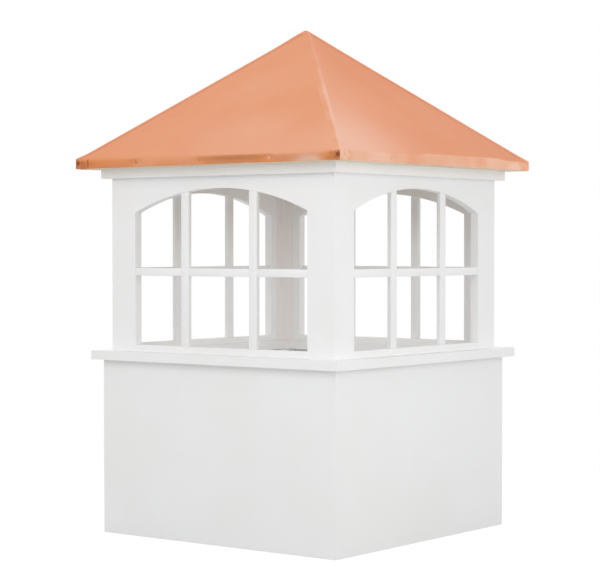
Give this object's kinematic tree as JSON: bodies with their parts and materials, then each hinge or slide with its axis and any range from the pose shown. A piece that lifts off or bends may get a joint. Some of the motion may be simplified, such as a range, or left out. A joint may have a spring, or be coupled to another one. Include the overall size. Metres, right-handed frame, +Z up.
{
  "type": "barn cupola",
  "caption": "Square white barn cupola: plain box base, projecting ledge, window section with arched openings, narrow fascia and a four-sided pyramid roof of bright copper sheet.",
  "frame": {"origin": "centre of the underside of the base, on the level that the base rests on", "axes": "+Z up; -Y out of the front wall; +X out of the right wall"},
  "size_m": [0.694, 0.694, 1.0699],
  "materials": {
    "white_board": "smooth white cellular PVC board, satin",
    "copper": "new mill-finish copper sheet, soft brushed shine",
    "pine": "bare planed pine",
    "plywood": "bare sheathing plywood"
  },
  "bodies": {
    "root": {"base_front": "white_board", "base_right": "white_board", "base_back": "white_board", "base_left": "white_board", "base_post_front_right": "pine", "base_post_back_right": "pine", "base_post_back_left": "pine", "base_post_front_left": "pine", "ledge_front": "white_board", "ledge_right": "white_board", "ledge_back": "white_board", "ledge_left": "white_board", "wall_front": "white_board", "wall_right": "white_board", "wall_back": "white_board", "wall_left": "white_board", "corner_board_front_right": "white_board", "corner_board_back_right": "white_board", "corner_board_back_left": "white_board", "corner_board_front_left": "white_board", "fascia_front": "white_board", "fascia_right": "white_board", "fascia_back": "white_board", "fascia_left": "white_board", "eave_board_front": "pine", "eave_board_right": "pine", "eave_board_back": "pine", "eave_board_left": "pine", "deck_front": "plywood", "deck_right": "plywood", "deck_back": "plywood", "deck_left": "plywood", "copper_front": "copper", "copper_right": "copper", "copper_back": "copper", "copper_left": "copper"}
  },
  "joints": []
}
